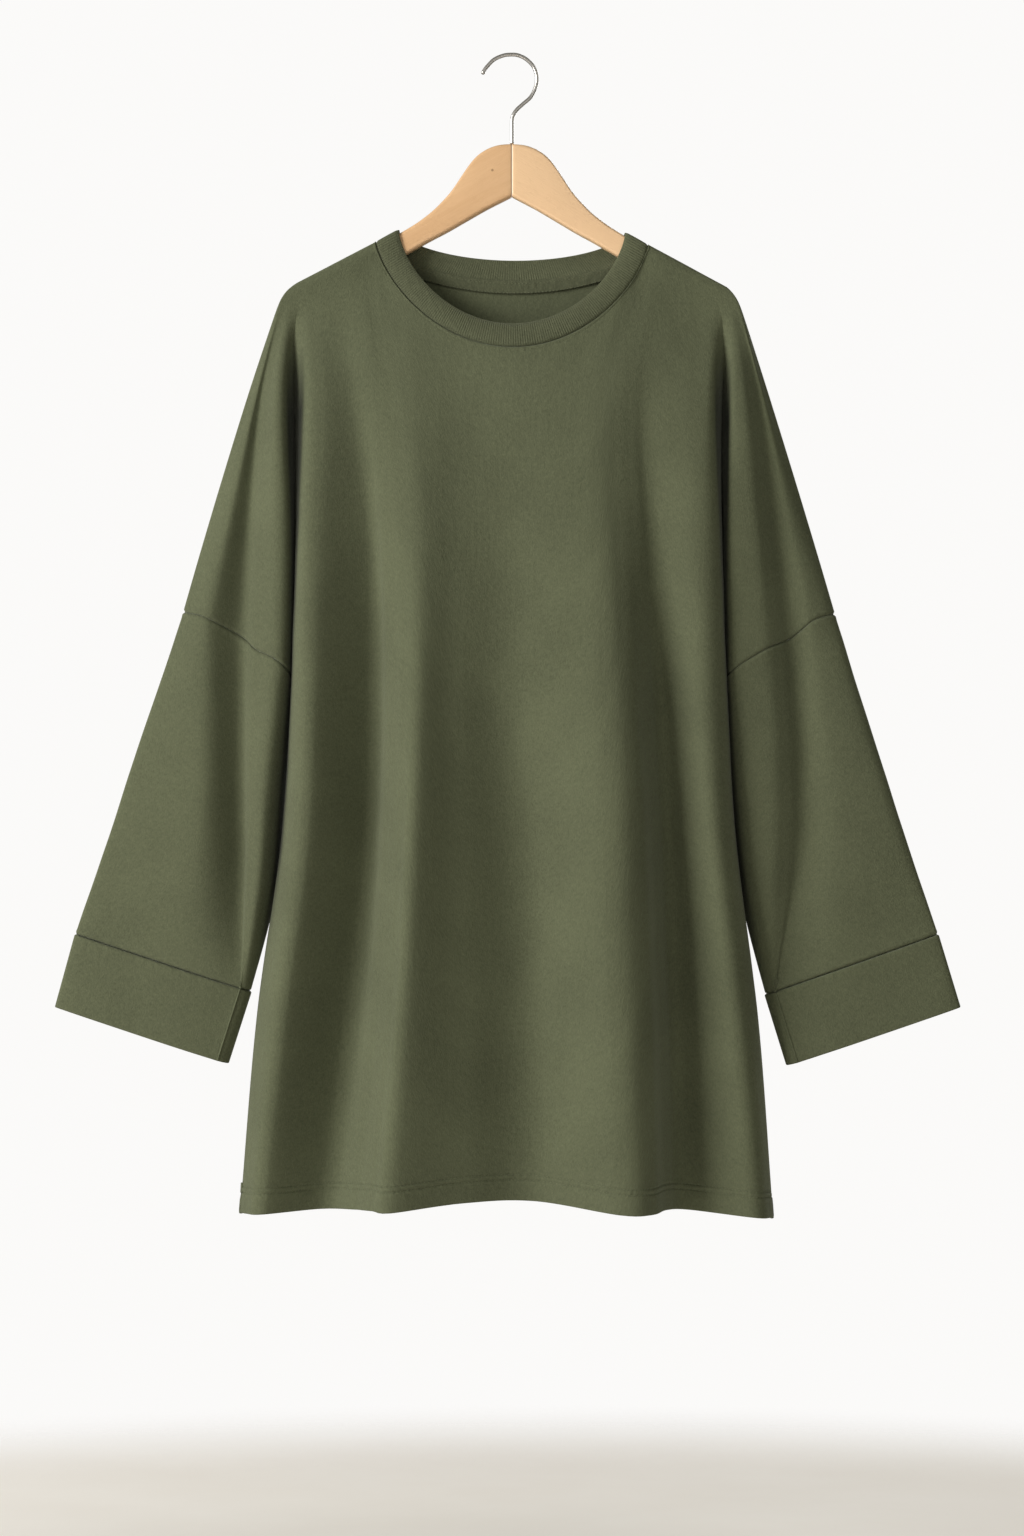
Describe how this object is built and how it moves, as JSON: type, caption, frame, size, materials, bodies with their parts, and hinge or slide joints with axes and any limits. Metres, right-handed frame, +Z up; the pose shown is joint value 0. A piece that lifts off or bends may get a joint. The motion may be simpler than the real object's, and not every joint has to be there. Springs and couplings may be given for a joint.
{
  "type": "oversized t-shirt on a wooden hanger",
  "caption": "Long-sleeved oversized t-shirt with dropped shoulders, wide cuffed sleeves and a ribbed crew neck, hanging open on a shaped wooden hanger with a steel hook.",
  "frame": {"origin": "inside crest of the hook, where the hanger hangs from a rail or wall hook", "axes": "+Z up, +X to the right as the front is seen, +Y from the front of the shirt to its back"},
  "size_m": [0.8259, 0.1173, 1.0709],
  "materials": {
    "jersey": "matt brushed cotton jersey, olive green",
    "rib": "matt cotton rib, olive green",
    "beech": "pale satin-varnished beech",
    "steel": "satin nickel-plated wire"
  },
  "bodies": {
    "root": {"front_panel": "jersey", "back_panel": "jersey", "sleeve_left": "jersey", "sleeve_right": "jersey", "cuff_left": "jersey", "cuff_right": "jersey", "neck_rib": "rib", "neck_tape": "rib", "hanger_arm_left": "beech", "hanger_arm_right": "beech", "hanger_hook": "steel"}
  },
  "joints": []
}
